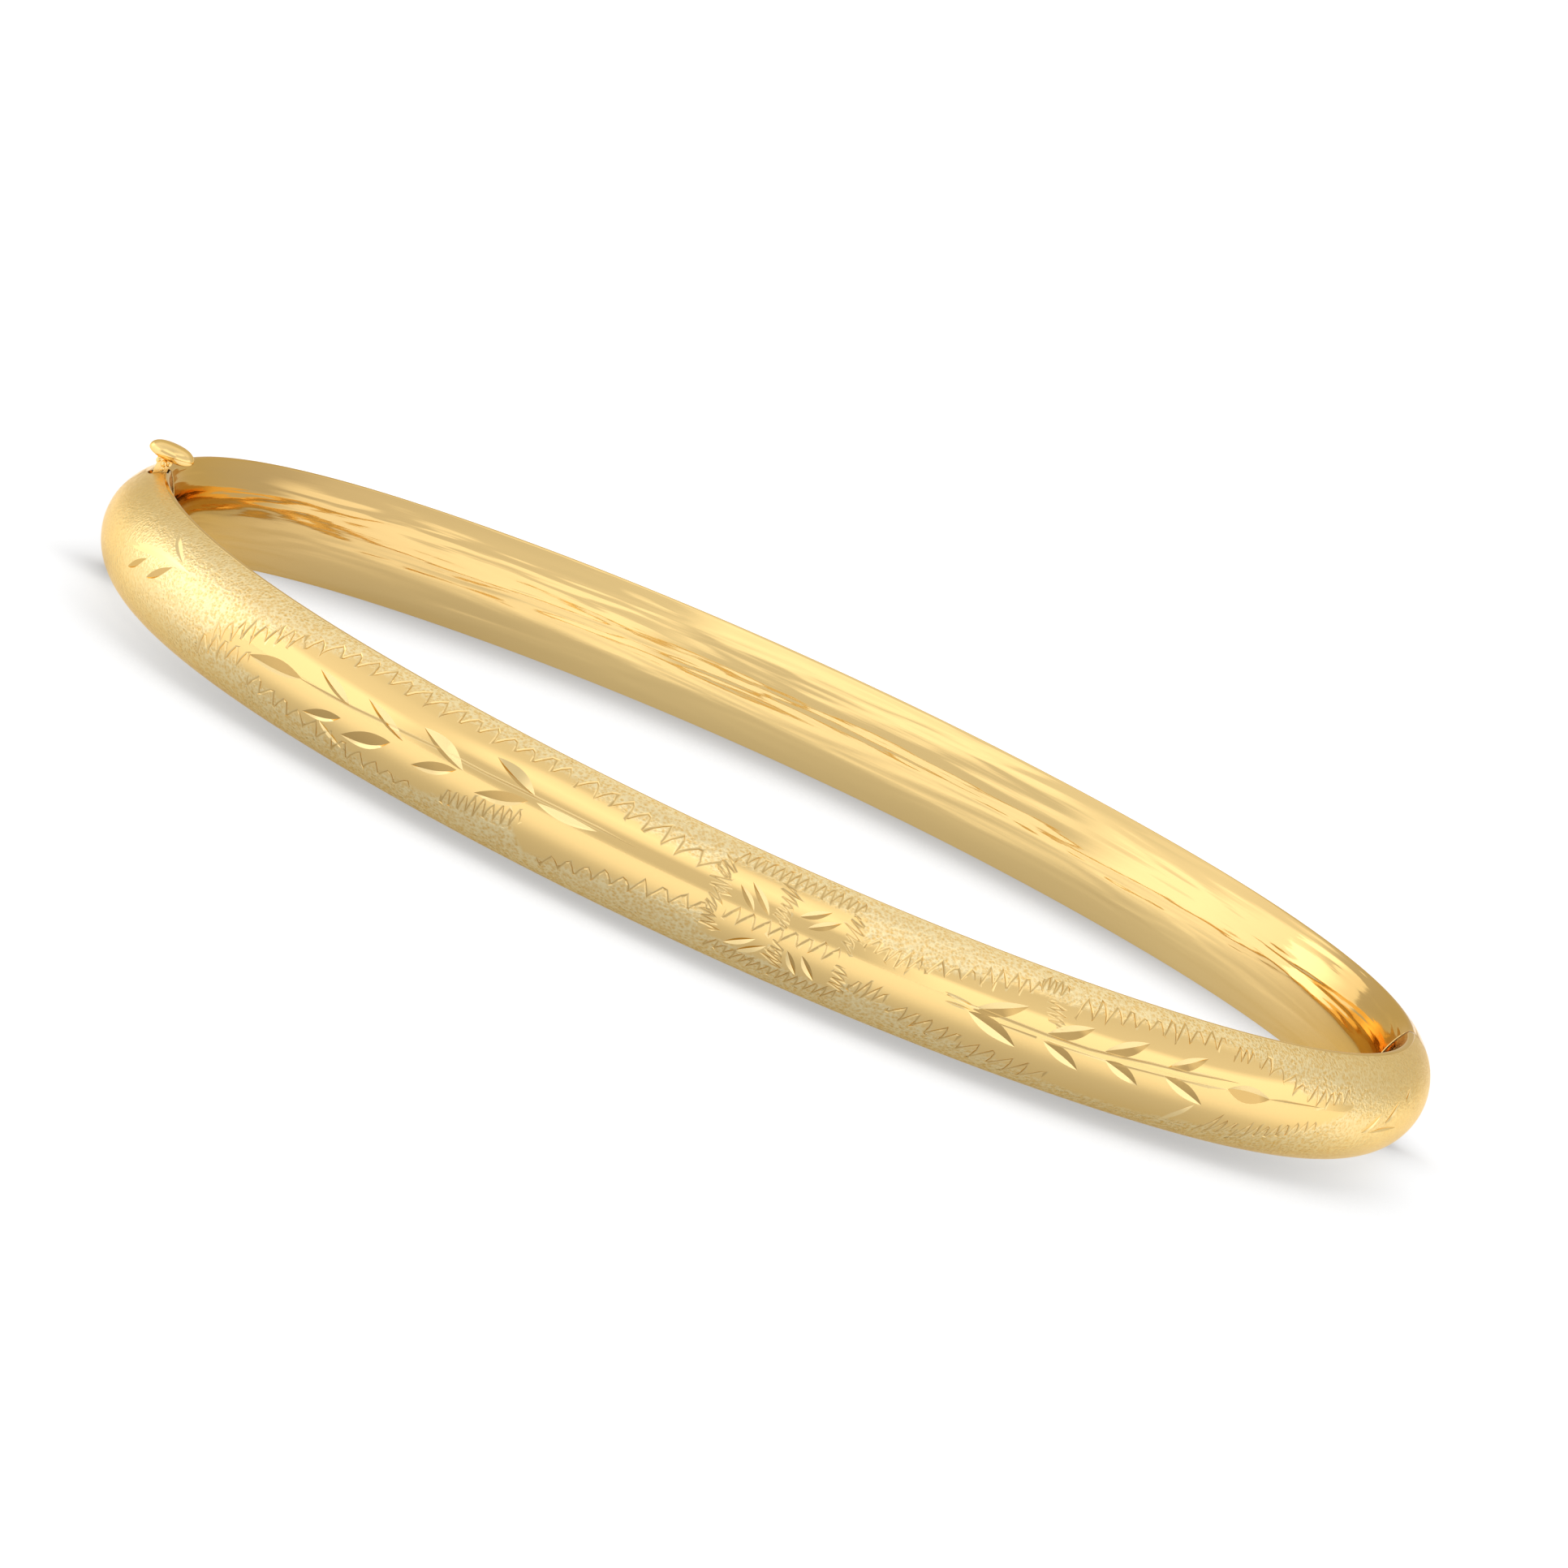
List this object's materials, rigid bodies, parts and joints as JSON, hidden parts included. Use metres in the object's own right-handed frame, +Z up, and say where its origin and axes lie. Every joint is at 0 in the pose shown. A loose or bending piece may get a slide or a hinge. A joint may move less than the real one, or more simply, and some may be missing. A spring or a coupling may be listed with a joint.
{
  "type": "hinged bangle bracelet",
  "caption": "Oval hollow bangle in two hinged half tubes, with an engraved domed front, a polished inside and a sprung tongue clasp pressed by an oval thumb tab.",
  "frame": {"origin": "centre of the closed bangle's outline, on the plane its lower rim rests on", "axes": "+Z up through the wrist opening, X from the clasp (-X) to the hinge (+X), the engraved front half on the -Y side"},
  "size_m": [0.0654, 0.059, 0.0063],
  "materials": {
    "gold_engraved": "satin with bright-cut engraving, 14 karat yellow gold",
    "gold_polished_outside": "polished, 14 karat yellow gold",
    "gold_polished_inside": "high polish, 14 karat yellow gold",
    "gold_thumb_tab": "polished, 14 karat yellow gold",
    "gold_fittings": "bright as rolled, 14 karat yellow gold"
  },
  "bodies": {
    "back_half": {"back_outer_shell": "gold_polished_outside", "back_inner_liner": "gold_polished_inside", "back_hinge_block": "gold_fittings", "back_end_plate": "gold_fittings", "hinge_knuckle_middle": "gold_fittings", "tongue_blade": "gold_fittings"},
    "front_half": {"front_outer_shell": "gold_engraved", "front_inner_liner": "gold_polished_inside", "front_hinge_block": "gold_fittings", "front_catch_plate": "gold_fittings", "hinge_knuckle_upper": "gold_fittings", "hinge_knuckle_lower": "gold_fittings", "hinge_pin": "gold_fittings"},
    "latch": {"tongue_spring_leaf": "gold_fittings", "tab_stem": "gold_fittings", "thumb_tab": "gold_thumb_tab"}
  },
  "joints": [
    {"name": "hinge_swing", "type": "hinge", "parent": "back_half", "child": "front_half", "pos_m": [0.03196, 0, 0.0026], "axis": [0, 0, 1], "range_deg": [0, 60]},
    {"name": "tab_press", "type": "hinge", "parent": "back_half", "child": "latch", "pos_m": [-0.03123, -0.0032, 0.0022], "axis": [-1, 0, 0], "range_deg": [0, 8], "stiffness_Nm_per_rad": 0.03}
  ]
}
